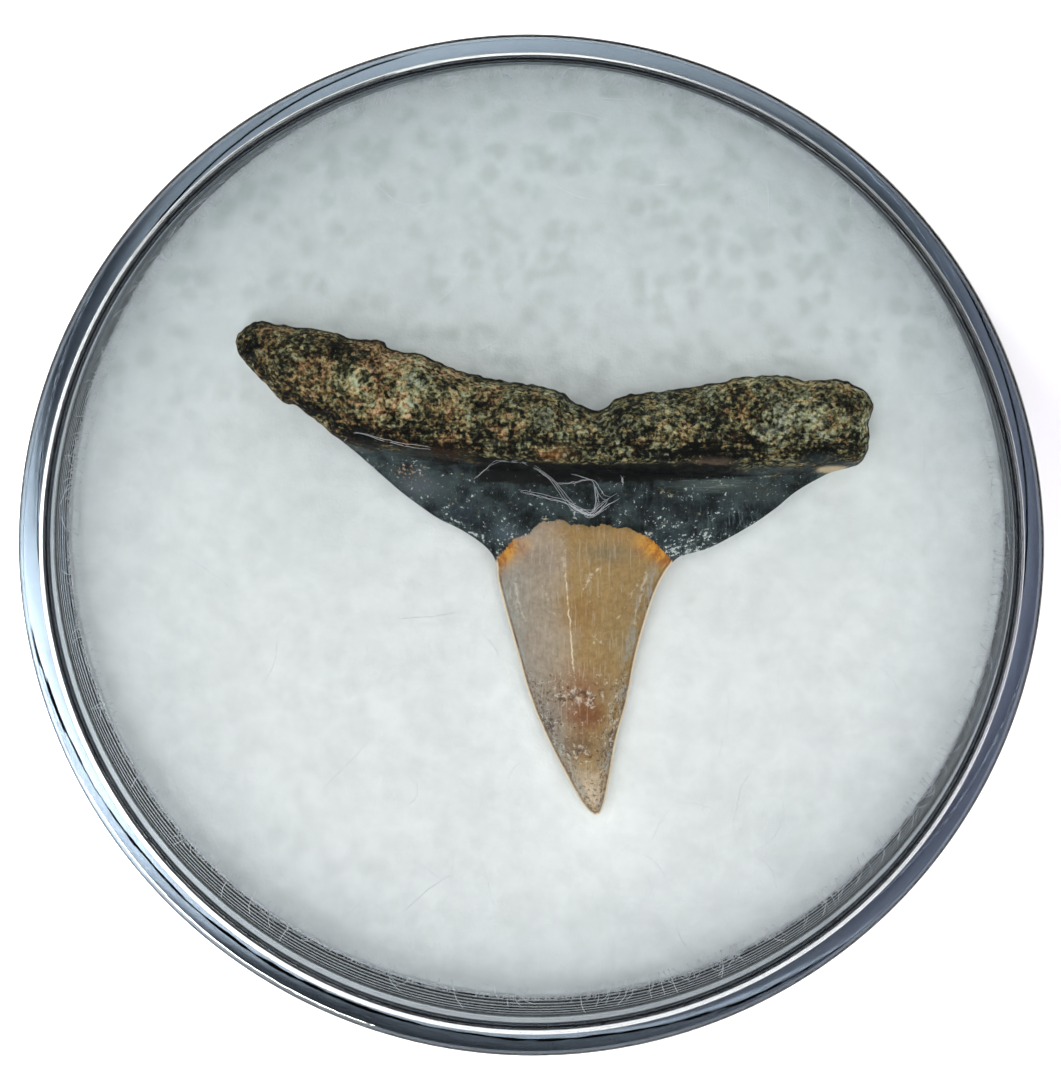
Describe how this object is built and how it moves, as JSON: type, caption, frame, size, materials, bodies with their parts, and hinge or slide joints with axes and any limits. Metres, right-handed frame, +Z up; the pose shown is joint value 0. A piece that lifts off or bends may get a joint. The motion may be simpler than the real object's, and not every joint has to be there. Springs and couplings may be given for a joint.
{
  "type": "fossil shark tooth in a round display jar",
  "caption": "Fossil lemon shark tooth with a wide dark root and a narrow tan crown, lying on a white fibre pad in a closed round jar that stands flat, with a clear lid down over a smoky base.",
  "frame": {"origin": "middle of the jar's flat underside", "axes": "+Z up through the lid's window, +X along the tooth's root, -Y the way the tooth's crown points"},
  "size_m": [0.0318, 0.0318, 0.014],
  "materials": {
    "fossil_tooth": "satin",
    "white_fibre": "matte",
    "clear_plastic_base": "gloss",
    "clear_plastic_lid": "gloss"
  },
  "bodies": {
    "root": {"tooth": "fossil_tooth", "fibre_pad": "white_fibre", "jar_base": "clear_plastic_base", "jar_lid": "clear_plastic_lid"}
  },
  "joints": []
}
